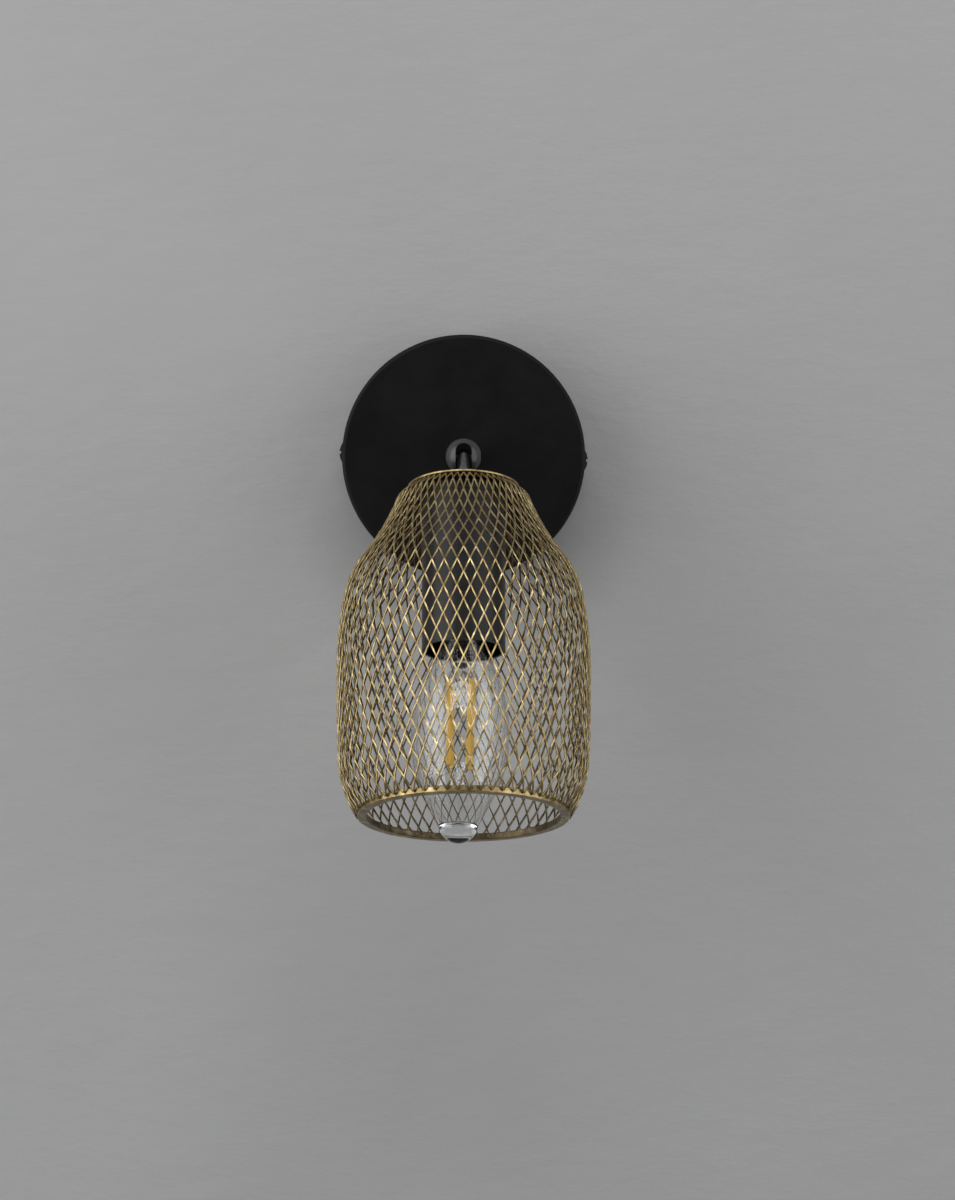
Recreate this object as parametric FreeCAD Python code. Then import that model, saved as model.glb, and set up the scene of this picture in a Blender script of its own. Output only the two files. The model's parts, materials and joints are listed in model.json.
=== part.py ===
# Cage wall light: a wall canopy, a swivel arm with a slotted knuckle, and an expanded-metal cage
# round a socket cup and a candle lamp with LED filaments.
#
# Part frame: origin on the wall plane at the middle of the canopy, +Z up, and the lamp stands out
# along -Y. The head's pieces are drawn hanging straight down from the knuckle's pivot, in a frame
# of their own, and are then tilted and moved to the pivot. A depth below the pivot, measured
# along the head's axis, is called a drop.

import FreeCAD, Part
import math
import os

Vec = FreeCAD.Vector
X_AXIS = Vec(1, 0, 0)
Y_AXIS = Vec(0, 1, 0)
Z_AXIS = Vec(0, 0, 1)
ORIGIN = Vec(0, 0, 0)

# ---- Driving dimensions, in mm and degrees ----

# Fits shared by several pieces
RUNNING_GAP = 0.05          # radial gap of a shaft, pin or screw in its hole
SEAT_GAP = 0.05             # gap where two pieces nearly touch
WELD_GAP = 0.25             # gap filled by weld between the net and its ring

# Wall canopy
CANOPY_DIA = 92.0
CANOPY_DEPTH = 25.0
CANOPY_WALL = 1.2
CANOPY_EDGE_R = 1.5         # rounded front edge
INSTALLED_TURN = 1.9        # the canopy and its plate sit turned clockwise, seen from the room

# Wall plate inside the canopy
PLATE_INSET = 7.0           # from the canopy's outside to the plate's edge
PLATE_T = 1.5
PLATE_CABLE_HOLE_DIA = 18.0
WALL_SLOT_SPACING = 60.0
WALL_SLOT_W = 5.0
WALL_SLOT_LENGTH = 12.0
EAR_W = 12.0                # height of each bent ear
EAR_LENGTH = 14.0           # how far each ear stands off the wall
EAR_BEND_R = 1.5

# Canopy side screws
SIDE_SCREW_DIA = 4.0
SIDE_SCREW_HEAD_DIA = 7.5
SIDE_SCREW_HEAD_H = 1.5
SIDE_SCREW_LENGTH = 7.0     # under the head
SIDE_SCREW_OFF_WALL = 8.5
SIDE_SCREW_SLOT_W = 1.0
SIDE_SCREW_SLOT_DEPTH = 0.7
CANOPY_SIDE_HOLE_DIA = 4.4

# Arm and knuckle
PIVOT_OFF_WALL = 70.0
ARM_DIA = 10.0
ARM_THREAD_DIA = 8.0
ARM_THREAD_LENGTH = 9.5     # behind the canopy's front face
ARM_BORE_DIA = 4.4
ARM_NUT_AF = 13.0
ARM_NUT_H = 4.0
ARM_WASHER_DIA = 15.0
ARM_WASHER_T = 0.8
KNUCKLE_DIA = 13.3
KNUCKLE_SLOT_W = 5.9
KNUCKLE_SLOT_RISE = 4.9     # from the pivot up to the top of the slot's arch
KNUCKLE_SLOT_BACK = 3.4     # from the pivot back to the slot's rear wall
PIVOT_PIN_DIA = 2.5
PIVOT_HEAD_DIA = 4.4
PIVOT_HEAD_H = 1.2
PIVOT_SLOT_W = 1.0
PIVOT_SLOT_DEPTH = 0.4

# Stem that hangs in the knuckle
HEAD_TILT = 20.0            # stored tilt of the head, bottom towards the room
STEM_EYE_SIDE_GAP = 0.35    # between the eye and each side of the knuckle's slot
STEM_SIDE_GAP = 0.1         # between the stem and each side of the slot
STEM_STEP_DROP = 1.5        # where the eye steps out to the stem
STEM_FLANGE_DIA = 12.0
STEM_FLANGE_T = 2.0
STEM_THREAD_DIA = 8.0
STEM_THREAD_LENGTH = 17.0   # below the flange
STEM_BORE_DIA = 3.2
STEM_WINDOW_W = 2.6
STEM_WINDOW_TOP_DROP = 2.8
STEM_WINDOW_END_DROP = 7.0

# Cage
CAGE_PLATE_DROP = 12.1      # top face of the plate
CAGE_PLATE_T = 0.8
CAGE_PLATE_DIA = 40.8
CAGE_BOTTOM_DROP = 135.0
CAGE_RING_DIA = 75.0
CAGE_RING_W = 3.4
CAGE_RING_H = 2.4
NET_T = 0.5
NET_STRAND = 0.5
NET_AROUND = 60             # meshes round the cage
NET_HALF_ROWS = 25          # half meshes from the plate to the ring
NET_TOP_DIA = 40.6
NET_CORNER_DIA = 48.2       # end of the rounded corner under the plate
NET_CORNER_DROP = 4.8       # below the top of the plate
NET_CONE_DIA = 75.4         # end of the hollow cone
NET_CONE_DROP = 29.0
NET_SHOULDER_DIA = 85.8     # end of the rounded shoulder
NET_SHOULDER_DROP = 41.1
NET_BARREL_DIA = 90.3       # widest place
NET_BARREL_DROP = 73.9
NET_HEEL_DIA = 89.2         # where the net starts to draw in
NET_HEEL_DROP = 99.9
NET_END_LIFT = 0.8          # net's end above the ring's lower face

# Socket cup and lampholder
CUP_GAP = 1.5               # between the lampholder and the cup's wall
CUP_END_DROP = 73.7
CUP_WALL = 1.0
CUP_TOP_T = 1.4
CUP_EDGE_R = 1.0
STEM_NUT_AF = 13.0
STEM_NUT_H = 4.0
STEM_WASHER_DIA = 16.0
STEM_WASHER_T = 0.8
HOLDER_DIA = 25.0
HOLDER_COLLAR_DIA = 15.0
HOLDER_COLLAR_H = 7.0
HOLDER_CAP_H = 11.0         # hood over the terminals, below the collar
HOLDER_WALL = 1.6
HOLDER_FLOOR_T = 3.0        # partition that carries the contacts
HOLDER_SKIRT_LENGTH = 24.0  # below the partition
SHELL_GAP = 0.55            # between the lamp's cap and the threaded shell's ridges
SHELL_RIDGE = 0.3
SHELL_T = 0.4
SHELL_TURNS = 5
THREAD_PITCH = 2.8
SHELL_START_TO_FLOOR = 4.0  # from the partition to the first ridge of the shell
SHELL_LUG_W = 3.0
GRIP_COUNT = 12             # shallow grip grooves down the holder's skirt
GRIP_DIA = 2.0
GRIP_START = 3.0            # below the partition
CONTACT_GAP = 0.1
CONTACT_T = 0.4
CONTACT_W = 4.0
CONTACT_FOOT_X = -5.0       # where the contact's foot ends, to the left
CONTACT_TONGUE_X = -3.0     # where its tongue ends
CONTACT_BACK_X = 4.0        # the upright strip between foot and tongue
TERMINAL_W = 5.0
TERMINAL_H = 5.0
TERMINAL_SPACING = 11.0
TERMINAL_SCREW_DIA = 2.5
TERMINAL_HEAD_DIA = 4.0
TERMINAL_HEAD_H = 1.3
SMALL_SLOT_W = 0.6          # screwdriver slot of the small brass screws
SMALL_SLOT_DEPTH = 0.6

# Candle lamp
BULB_TIP_DROP = 144.3
BULB_LENGTH = 98.0
BULB_DIA = 35.0
BULB_LEAN = 1.2             # the lamp leans a little to the left in its holder
BULB_GLASS_T = 0.8
GLASS_TIP_FLAT_R = 0.3      # tiny flat where the glass was drawn off
BULB_TIP_WALL = 4.5         # glass at the tip
BULB_BELLY_TO_TIP = 40.0    # from the widest place to the tip
BULB_NOSE_TO_TIP = 6.2
BULB_SHOULDER_TO_TIP = 21.7
BULB_CAP_DIA = 13.9
BULB_CAP_RIDGE = 0.4
BULB_CAP_LENGTH = 18.0
BULB_CAP_T = 0.3
BULB_INSULATOR_H = 2.2
BULB_TIP_CONTACT_DIA = 5.0
BULB_TIP_CONTACT_H = 1.0
FILAMENT_COUNT = 4
FILAMENT_LENGTH = 31.0
FILAMENT_W = 1.8
FILAMENT_T = 1.0
FILAMENT_END_TO_TIP = 27.6  # lower end of the filaments above the lamp's tip
FILAMENT_TOP_SPREAD = 11.2  # across the circle of the filaments' upper ends
FILAMENT_LOW_SPREAD = 9.6   # across the circle of their lower ends
FILAMENT_TURN = 38.0        # first filament round from +X
GLASS_STEM_DIA = 5.0
GLASS_STEM_END_TO_TIP = 64.0
LEAD_WIRE_DIA = 0.5
WIRE_END_GAP = 0.25         # solder between a wire and a filament's end
WIRE_SPACING = 1.6          # between the two wires where they leave the glass stem
FORK_RUN = 1.2              # from the glass stem to the fork in each wire
SUPPORT_BEAD_DIA = 2.2
SUPPORT_BEAD_RUN = 4.0      # from the filaments' lower ends down to the bead
BOARD_W = 8.0
BOARD_T = 1.0
BOARD_H = 9.0
CHIP_SIZE = 4.0
CHIP_T = 1.4
BOARD_FOOT_H = 0.6

# Supply block and leads in the canopy
BLOCK_W = 28.0
BLOCK_H = 14.0
BLOCK_DEPTH = 12.0
BLOCK_RISE = 25.0           # block's middle above the canopy's middle
BLOCK_POLES = 3
BLOCK_SCREW_DIA = 4.0
BLOCK_SHANK_DIA = 2.8
BLOCK_SHANK_LENGTH = 1.8
BLOCK_HEAD_H = 1.6
BLOCK_SCREW_RISE = 0.4      # heads stand this far off the inserts
BLOCK_ENTRY_DIA = 3.4
BLOCK_INSERT_DIA = 5.2
LEAD_DIA = 1.3
LEAD_SPACING = 1.7
LEAD_FLARE = 0.4            # the head's leads spread by this much below the stem
LEAD_BEND_SHARE = 0.45      # of the shorter run at a corner, taken by the bend
LEAD_IN_BLOCK = 2.0         # length of each lead inside the block
LEAD_BELOW_BLOCK = 6.0      # from the block to each lead's first bend
LEAD_ABOVE_BARREL = 8.0     # from the ring terminal's barrel up to the earth lead's bend
LEAD_OFF_PLATE = 5.5        # from the plate to the bend where the leads turn into the arm
EARTH_SCREW_DIA = 4.0
EARTH_SCREW_X = -18.0
EARTH_SCREW_Z = -21.0
EARTH_WASHER_DIA = 9.0
EARTH_WASHER_T = 1.0
EARTH_HEAD_DIA = 7.0
EARTH_HEAD_H = 2.4
EARTH_SLOT_W = 1.0
EARTH_SLOT_DEPTH = 1.0
RING_TERMINAL_DIA = 8.0
RING_TERMINAL_T = 0.8
BARREL_DIA = 2.6            # the terminal's crimped barrel
BARREL_BORE_DIA = 1.5
BARREL_START = 6.0          # from the screw to the barrel
BARREL_LENGTH = 5.0

# ---- Values that follow from them ----

CANOPY_R = CANOPY_DIA / 2
CANOPY_INNER_R = CANOPY_R - CANOPY_WALL
PLATE_R = CANOPY_R - PLATE_INSET
FACE_Y = -CANOPY_DEPTH
FACE_INNER_Y = FACE_Y + CANOPY_WALL
PIVOT = Vec(0, -PIVOT_OFF_WALL, 0)
KNUCKLE_R = KNUCKLE_DIA / 2
SLOT_HALF = KNUCKLE_SLOT_W / 2
STEM_EYE_DIA = KNUCKLE_SLOT_W - 2 * STEM_EYE_SIDE_GAP
STEM_DIA = KNUCKLE_SLOT_W - 2 * STEM_SIDE_GAP
FLANGE_TOP_DROP = CAGE_PLATE_DROP - STEM_FLANGE_T
CAGE_PLATE_END_DROP = CAGE_PLATE_DROP + CAGE_PLATE_T
STEM_END_DROP = CAGE_PLATE_DROP + STEM_THREAD_LENGTH
STEM_HOLE_R = STEM_THREAD_DIA / 2 + RUNNING_GAP
CUP_TOP_END_DROP = CAGE_PLATE_END_DROP + CUP_TOP_T
NUT_TOP_DROP = CUP_TOP_END_DROP + STEM_WASHER_T
CUP_DIA = HOLDER_DIA + 2 * (CUP_GAP + CUP_WALL)
HOLDER_TOP_DROP = STEM_END_DROP - HOLDER_COLLAR_H
HOLDER_HOOD_DROP = STEM_END_DROP
HOLDER_SPLIT_DROP = HOLDER_HOOD_DROP + HOLDER_CAP_H
HOLDER_FLOOR_END_DROP = HOLDER_SPLIT_DROP + HOLDER_FLOOR_T
HOLDER_END_DROP = HOLDER_FLOOR_END_DROP + HOLDER_SKIRT_LENGTH
BULB_CONTACT_DROP = BULB_TIP_DROP - BULB_LENGTH
BULB_CAP_ROOT_DIA = BULB_CAP_DIA - 2 * BULB_CAP_RIDGE
SHELL_ROOT_DIA = BULB_CAP_DIA + 2 * SHELL_GAP
SHELL_CREST_DIA = SHELL_ROOT_DIA + 2 * SHELL_RIDGE


# ---- Small helpers ----

def turned(profile_points, axis):
    """A solid of revolution from a closed run of (radius, position along the axis) points."""
    if axis == Y_AXIS:
        points = [Vec(r, p, 0) for r, p in profile_points]
    else:
        points = [Vec(r, 0, p) for r, p in profile_points]
    wire = Part.makePolygon(points + [points[0]])
    return Part.Face(wire).revolve(ORIGIN, axis, 360)


def rod(diameter, start, end):
    """A round rod from one point to another."""
    return Part.makeCylinder(diameter / 2, (end - start).Length, start, end - start)


def tube(outer_dia, inner_dia, start, end):
    """A round tube from one point to another."""
    return rod(outer_dia, start, end).cut(rod(inner_dia, start, end))


def centred_box(size_x, size_y, size_z, centre):
    """A box about its own centre."""
    corner = centre - Vec(size_x / 2, size_y / 2, size_z / 2)
    return Part.makeBox(size_x, size_y, size_z, corner)


def hexagon(across_flats, height, base, direction):
    """A hexagonal prism that stands on base along direction."""
    radius = across_flats / math.sqrt(3)
    points = []
    for side in range(7):
        angle = math.radians(60 * side + 30)
        points.append(Vec(radius * math.cos(angle), radius * math.sin(angle), 0))
    prism = Part.Face(Part.makePolygon(points)).extrude(Vec(0, 0, height))
    prism.Placement = FreeCAD.Placement(base, FreeCAD.Rotation(Z_AXIS, direction))
    return prism


def nut(across_flats, bore_dia, height, base, direction):
    """A hexagonal nut with chamfered corners."""
    end = base + Vec(direction) * height
    body = hexagon(across_flats, height, base, direction)
    crown_r = across_flats / math.sqrt(3)
    bevel = crown_r - across_flats / 2
    crown = Part.makeCone(crown_r + height, crown_r - bevel * 0.6, height + bevel * 0.6, base, direction)
    crown = crown.common(Part.makeCylinder(crown_r + 1, height, base, direction))
    return body.common(crown).cut(rod(bore_dia, base, end))


def drop(depth):
    """The point on the head's axis at a drop below the pivot."""
    return Vec(0, 0, -depth)


def to_room(shape):
    """Tilts a piece of the head about the pivot and moves it there."""
    placed = shape.copy()
    placed.rotate(ORIGIN, X_AXIS, -HEAD_TILT)
    placed.translate(PIVOT)
    return placed


def lean(shape):
    """Leans a piece of the lamp about its contact in the holder."""
    leaned = shape.copy()
    leaned.rotate(drop(BULB_CONTACT_DROP), Y_AXIS, BULB_LEAN)
    return leaned


def turn_on_wall(shape):
    """Turns a piece that carries the canopy clockwise, as it was put up."""
    placed = shape.copy()
    placed.rotate(ORIGIN, Y_AXIS, INSTALLED_TURN)
    return placed


# ---- Wall base: canopy, plate, side screws, supply block ----

def make_canopy():
    """The canopy cup, with holes for the arm and the two side screws."""
    outer = Part.makeCylinder(CANOPY_R, CANOPY_DEPTH, ORIGIN, -Y_AXIS)
    rims = [e for e in outer.Edges if e.Closed and abs(e.CenterOfMass.y - FACE_Y) < 0.01]
    outer = outer.makeFillet(CANOPY_EDGE_R, rims)
    inner = Part.makeCylinder(CANOPY_INNER_R, CANOPY_DEPTH - CANOPY_WALL, ORIGIN, -Y_AXIS)
    rims = [e for e in inner.Edges if e.Closed and abs(e.CenterOfMass.y - FACE_INNER_Y) < 0.01]
    inner = inner.makeFillet(max(CANOPY_EDGE_R - CANOPY_WALL, 0.2), rims)
    cup = outer.cut(inner)
    cup = cup.cut(rod(ARM_THREAD_DIA + 2 * RUNNING_GAP, Vec(0, FACE_Y - 1, 0), Vec(0, 0, 0)))
    left = Vec(-CANOPY_DIA, -SIDE_SCREW_OFF_WALL, 0)
    right = Vec(CANOPY_DIA, -SIDE_SCREW_OFF_WALL, 0)
    return turn_on_wall(cup.cut(rod(CANOPY_SIDE_HOLE_DIA, left, right)))


def ear_outer_x():
    """Where the flat outer face of an ear clears the round wall of the canopy."""
    return math.sqrt(CANOPY_INNER_R ** 2 - (EAR_W / 2) ** 2) - SEAT_GAP


def make_wall_plate():
    """The round steel plate: a cable hole, two level wall slots and two bent ears."""
    plate = Part.makeCylinder(PLATE_R, PLATE_T, ORIGIN, -Y_AXIS)
    outer_x = ear_outer_x()
    for side in (-1, 1):
        profile = [
            Vec(0, 0, 0),
            Vec(outer_x, 0, 0),
            Vec(outer_x, -EAR_LENGTH, 0),
            Vec(outer_x - PLATE_T, -EAR_LENGTH, 0),
            Vec(outer_x - PLATE_T, -PLATE_T, 0),
            Vec(0, -PLATE_T, 0),
        ]
        strip = Part.Face(Part.makePolygon(profile + [profile[0]])).extrude(Vec(0, 0, EAR_W))
        strip.translate(Vec(0, 0, -EAR_W / 2))
        bends = []
        for edge in strip.Edges:
            middle = edge.CenterOfMass
            inside = (Vec(middle.x, middle.y, 0) - Vec(outer_x - PLATE_T, -PLATE_T, 0)).Length < 0.01
            outside = (Vec(middle.x, middle.y, 0) - Vec(outer_x, 0, 0)).Length < 0.01
            if inside or outside:
                bends.append((edge, EAR_BEND_R + PLATE_T if outside else EAR_BEND_R))
        for edge, radius in bends:
            near = edge.CenterOfMass
            match = [e for e in strip.Edges if (e.CenterOfMass - near).Length < 0.01]
            strip = strip.makeFillet(radius, match)
        ear_hole_dia = SIDE_SCREW_DIA + 2 * RUNNING_GAP
        hole_start = Vec(outer_x - PLATE_T * 3, -SIDE_SCREW_OFF_WALL, 0)
        hole_end = Vec(outer_x + PLATE_T, -SIDE_SCREW_OFF_WALL, 0)
        strip = strip.cut(rod(ear_hole_dia, hole_start, hole_end))
        if side < 0:
            strip.rotate(ORIGIN, Y_AXIS, 180)
        plate = plate.fuse(turn_on_wall(strip))
    plate = plate.cut(rod(PLATE_CABLE_HOLE_DIA, Vec(0, 1, 0), Vec(0, -PLATE_T - 1, 0)))
    for side in (-1, 1):
        middle_x = side * WALL_SLOT_SPACING / 2
        half_run = (WALL_SLOT_LENGTH - WALL_SLOT_W) / 2
        slot = centred_box(2 * half_run, 4 * PLATE_T, WALL_SLOT_W, Vec(middle_x, -PLATE_T, 0))
        for end in (-1, 1):
            end_x = middle_x + end * half_run
            slot = slot.fuse(rod(WALL_SLOT_W, Vec(end_x, PLATE_T, 0), Vec(end_x, -3 * PLATE_T, 0)))
        plate = plate.cut(slot)
    earth = Vec(EARTH_SCREW_X, 0, EARTH_SCREW_Z)
    behind = earth + Vec(0, 1, 0)
    earth_hole = rod(EARTH_SCREW_DIA + 2 * RUNNING_GAP, behind, earth - Vec(0, PLATE_T + 1, 0))
    return plate.cut(earth_hole).removeSplitter()


def domed_screw(shank_dia, length, head_dia, head_h, slot_w, slot_depth):
    """A slotted domed screw on its own Z axis: head above zero, shank below."""
    edge_h = head_h * 0.25
    crown = head_h - edge_h
    dome_r = ((head_dia / 2) ** 2 + crown ** 2) / (2 * crown)
    head = Part.makeCylinder(head_dia / 2, head_h)
    head = head.common(Part.makeSphere(dome_r, Vec(0, 0, head_h - dome_r)))
    slot = centred_box(head_dia * 2, slot_w, slot_depth * 2, Vec(0, 0, head_h))
    shank = Part.makeCylinder(shank_dia / 2, length, Vec(0, 0, -length))
    tip = min(shank_dia * 0.12, length * 0.2)
    ends = [e for e in shank.Edges if e.Closed and abs(e.CenterOfMass.z + length) < 0.01]
    shank = shank.makeChamfer(tip, ends)
    return head.cut(slot).fuse(shank).removeSplitter()


def placed_screw(screw, seat, direction, slot_along):
    """Moves a screw from its own axis: head towards direction, slot along slot_along."""
    third = direction.cross(slot_along)
    placed = screw.copy()
    placed.Placement = FreeCAD.Placement(seat, FreeCAD.Rotation(slot_along, third, direction, "ZXY"))
    return placed


def make_side_screws():
    """The two screws that hold the canopy to the plate's ears; their slots run off the wall."""
    screws = []
    for side in (-1, 1):
        screw = domed_screw(
            SIDE_SCREW_DIA, SIDE_SCREW_LENGTH, SIDE_SCREW_HEAD_DIA, SIDE_SCREW_HEAD_H,
            SIDE_SCREW_SLOT_W, SIDE_SCREW_SLOT_DEPTH,
        )
        seat = Vec(side * (CANOPY_R + SEAT_GAP), -SIDE_SCREW_OFF_WALL, 0)
        screws.append(turn_on_wall(placed_screw(screw, seat, Vec(side, 0, 0), Y_AXIS)))
    return Part.makeCompound(screws)


def block_middle():
    """The middle of the supply block."""
    return Vec(0, -PLATE_T - BLOCK_DEPTH / 2, BLOCK_RISE)


def pole_x(pole):
    """The place across the block of one of its poles."""
    return (pole - (BLOCK_POLES - 1) / 2) * BLOCK_W / BLOCK_POLES


BLOCK_SCREW_PITCH = BLOCK_H / 2
BLOCK_WELL_DIA = BLOCK_SCREW_DIA + 8 * RUNNING_GAP


def make_supply_block():
    """The insulating body of the supply block: an entry through each pole and two screw wells."""
    middle = block_middle()
    body = centred_box(BLOCK_W, BLOCK_DEPTH, BLOCK_H, middle)
    for pole in range(BLOCK_POLES):
        x = pole_x(pole)
        low = Vec(x, middle.y, middle.z - BLOCK_H)
        high = Vec(x, middle.y, middle.z + BLOCK_H)
        body = body.cut(rod(BLOCK_INSERT_DIA + 2 * SEAT_GAP, low, high))
        for row in (-1, 1):
            z = middle.z + row * BLOCK_SCREW_PITCH / 2
            front = Vec(x, middle.y - BLOCK_DEPTH, z)
            body = body.cut(rod(BLOCK_WELL_DIA, front, Vec(x, middle.y, z)))
    return body


def make_block_inserts():
    """The brass tube in each pole, with tapped holes for its screws."""
    middle = block_middle()
    inserts = []
    for pole in range(BLOCK_POLES):
        x = pole_x(pole)
        low = Vec(x, middle.y, middle.z - BLOCK_H / 2 + 1)
        high = Vec(x, middle.y, middle.z + BLOCK_H / 2 - 1)
        insert = tube(BLOCK_INSERT_DIA, BLOCK_ENTRY_DIA, low, high)
        for row in (-1, 1):
            z = middle.z + row * BLOCK_SCREW_PITCH / 2
            front = Vec(x, middle.y - BLOCK_DEPTH, z)
            insert = insert.cut(rod(BLOCK_SHANK_DIA + 2 * RUNNING_GAP, front, Vec(x, middle.y, z)))
        inserts.append(insert)
    return Part.makeCompound(inserts)


def make_block_screws():
    """The clamp screws of the supply block."""
    middle = block_middle()
    screws = []
    for pole in range(BLOCK_POLES):
        for row in (-1, 1):
            z = middle.z + row * BLOCK_SCREW_PITCH / 2
            seat = Vec(pole_x(pole), middle.y - BLOCK_INSERT_DIA / 2 - BLOCK_SCREW_RISE, z)
            screw = domed_screw(
                BLOCK_SHANK_DIA, BLOCK_SHANK_LENGTH, BLOCK_SCREW_DIA, BLOCK_HEAD_H,
                SMALL_SLOT_W, SMALL_SLOT_DEPTH,
            )
            screws.append(placed_screw(screw, seat, -Y_AXIS, X_AXIS))
    return Part.makeCompound(screws)


def earth_seat(depth):
    """A point on the earth screw's axis, at a depth off the wall."""
    return Vec(EARTH_SCREW_X, -depth, EARTH_SCREW_Z)


RING_TERMINAL_DEPTH = PLATE_T + EARTH_WASHER_T
EARTH_HEAD_DEPTH = RING_TERMINAL_DEPTH + RING_TERMINAL_T


def make_earth_screw():
    """The earth screw in the wall plate."""
    screw = domed_screw(
        EARTH_SCREW_DIA, EARTH_HEAD_DEPTH, EARTH_HEAD_DIA, EARTH_HEAD_H,
        EARTH_SLOT_W, EARTH_SLOT_DEPTH,
    )
    return placed_screw(screw, earth_seat(EARTH_HEAD_DEPTH), -Y_AXIS, X_AXIS)


def make_earth_washer():
    """The washer under the earth terminal."""
    hole = EARTH_SCREW_DIA + 4 * RUNNING_GAP
    return tube(EARTH_WASHER_DIA, hole, earth_seat(PLATE_T), earth_seat(RING_TERMINAL_DEPTH))


def make_ring_terminal():
    """The crimped ring that holds the earth lead under its screw."""
    start = earth_seat(RING_TERMINAL_DEPTH)
    end = earth_seat(EARTH_HEAD_DEPTH)
    plane_y = (start.y + end.y) / 2
    tongue = centred_box(
        BARREL_DIA, RING_TERMINAL_T, BARREL_START, Vec(start.x, plane_y, start.z + BARREL_START / 2)
    )
    barrel_low = Vec(start.x, start.y - BARREL_DIA / 2, start.z + BARREL_START)
    barrel_high = barrel_low + Vec(0, 0, BARREL_LENGTH)
    barrel = tube(BARREL_DIA, BARREL_BORE_DIA, barrel_low, barrel_high)
    ring = rod(RING_TERMINAL_DIA, start, end).fuse(tongue)
    ring = ring.cut(rod(EARTH_SCREW_DIA + 4 * RUNNING_GAP, start + Y_AXIS, end - Y_AXIS))
    return ring.fuse(barrel)


def bent_lead(points):
    """One insulated lead: straight runs through the points, with a round bend at each corner."""
    edges = []
    start = points[0]
    for before, corner, after in zip(points, points[1:], points[2:]):
        arriving = Vec(corner - before).normalize()
        leaving = Vec(after - corner).normalize()
        turn = arriving.getAngle(leaving)
        back = LEAD_BEND_SHARE * min((corner - before).Length, (after - corner).Length)
        bend_r = back / math.tan(turn / 2)
        bend_start = corner - arriving * back
        bend_end = corner + leaving * back
        inward = Vec(leaving - arriving).normalize()
        bend_middle = corner + inward * (bend_r / math.cos(turn / 2) - bend_r)
        edges.append(Part.LineSegment(start, bend_start).toShape())
        edges.append(Part.Arc(bend_start, bend_middle, bend_end).toShape())
        start = bend_end
    edges.append(Part.LineSegment(start, points[-1]).toShape())
    section = Part.Wire([Part.Circle(points[0], points[1] - points[0], LEAD_DIA / 2).toShape()])
    return Part.Wire(edges).makePipeShell([section], True, True)


CANOPY_LEAD_END_Y = FACE_Y + ARM_THREAD_LENGTH - 1.0
ARM_LEAD_START_Y = CANOPY_LEAD_END_Y - 0.4


def block_exit(pole):
    """The first two points of a lead from a pole of the block: inside it, and below it."""
    middle = block_middle()
    entry_z = middle.z - BLOCK_H / 2
    x = pole_x(pole)
    return [Vec(x, middle.y, entry_z + LEAD_IN_BLOCK), Vec(x, middle.y, entry_z - LEAD_BELOW_BLOCK)]


def make_canopy_leads():
    """The two leads from the supply block to the mouth of the arm's bore."""
    leads = []
    for pole, side in ((1, -1), (2, 1)):
        end_x = side * LEAD_SPACING / 2
        points = block_exit(pole)
        points.append(Vec(end_x, -PLATE_T - LEAD_OFF_PLATE, 0))
        points.append(Vec(end_x, CANOPY_LEAD_END_Y, 0))
        leads.append(bent_lead(points))
    return Part.makeCompound(leads)


def make_earth_lead():
    """The lead from the block's earth pole into the ring terminal's barrel."""
    barrel_y = -RING_TERMINAL_DEPTH - BARREL_DIA / 2
    barrel_z = EARTH_SCREW_Z + BARREL_START
    points = block_exit(0)
    points.append(Vec(EARTH_SCREW_X, barrel_y, barrel_z + BARREL_LENGTH + LEAD_ABOVE_BARREL))
    points.append(Vec(EARTH_SCREW_X, barrel_y, barrel_z + 1.0))
    return bent_lead(points)


# ---- Arm: knuckle, nut, washer, pivot screw, leads ----

def make_arm():
    """The arm: thread behind the canopy's face, rod, and round knuckle with its arched slot."""
    arm = rod(ARM_DIA, Vec(0, FACE_Y, 0), PIVOT)
    arm = arm.fuse(Part.makeSphere(KNUCKLE_R, PIVOT))
    thread_end = Vec(0, FACE_Y + ARM_THREAD_LENGTH, 0)
    arm = arm.fuse(rod(ARM_THREAD_DIA, Vec(0, FACE_Y, 0), thread_end))
    arch_z = KNUCKLE_SLOT_RISE - SLOT_HALF
    slot_front = PIVOT.y - KNUCKLE_DIA
    slot_back = PIVOT.y + KNUCKLE_SLOT_BACK
    slot_depth = slot_back - slot_front
    slot_h = KNUCKLE_DIA + arch_z
    slot = centred_box(
        KNUCKLE_SLOT_W, slot_depth, slot_h, Vec(0, (slot_front + slot_back) / 2, arch_z - slot_h / 2)
    )
    slot = slot.fuse(rod(KNUCKLE_SLOT_W, Vec(0, slot_front, arch_z), Vec(0, slot_back, arch_z)))
    arm = arm.cut(slot)
    arm = arm.cut(rod(ARM_BORE_DIA, thread_end + Y_AXIS, PIVOT))
    pin_hole = rod(PIVOT_PIN_DIA + 2 * RUNNING_GAP, PIVOT - Vec(KNUCKLE_DIA, 0, 0), PIVOT)
    pin_hole = pin_hole.fuse(rod(PIVOT_PIN_DIA + 2 * RUNNING_GAP, PIVOT, PIVOT + Vec(KNUCKLE_DIA, 0, 0)))
    head_seat = PIVOT + Vec(pivot_head_x() - PIVOT_HEAD_H, 0, 0)
    head_hole = rod(PIVOT_HEAD_DIA + 2 * RUNNING_GAP, head_seat, PIVOT + Vec(KNUCKLE_DIA, 0, 0))
    return arm.cut(pin_hole).cut(head_hole).removeSplitter()


def pivot_head_x():
    """How far out the pivot screw's head reaches, just inside the round knuckle."""
    return math.sqrt(KNUCKLE_R ** 2 - (PIVOT_HEAD_DIA / 2) ** 2) - SEAT_GAP


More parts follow.
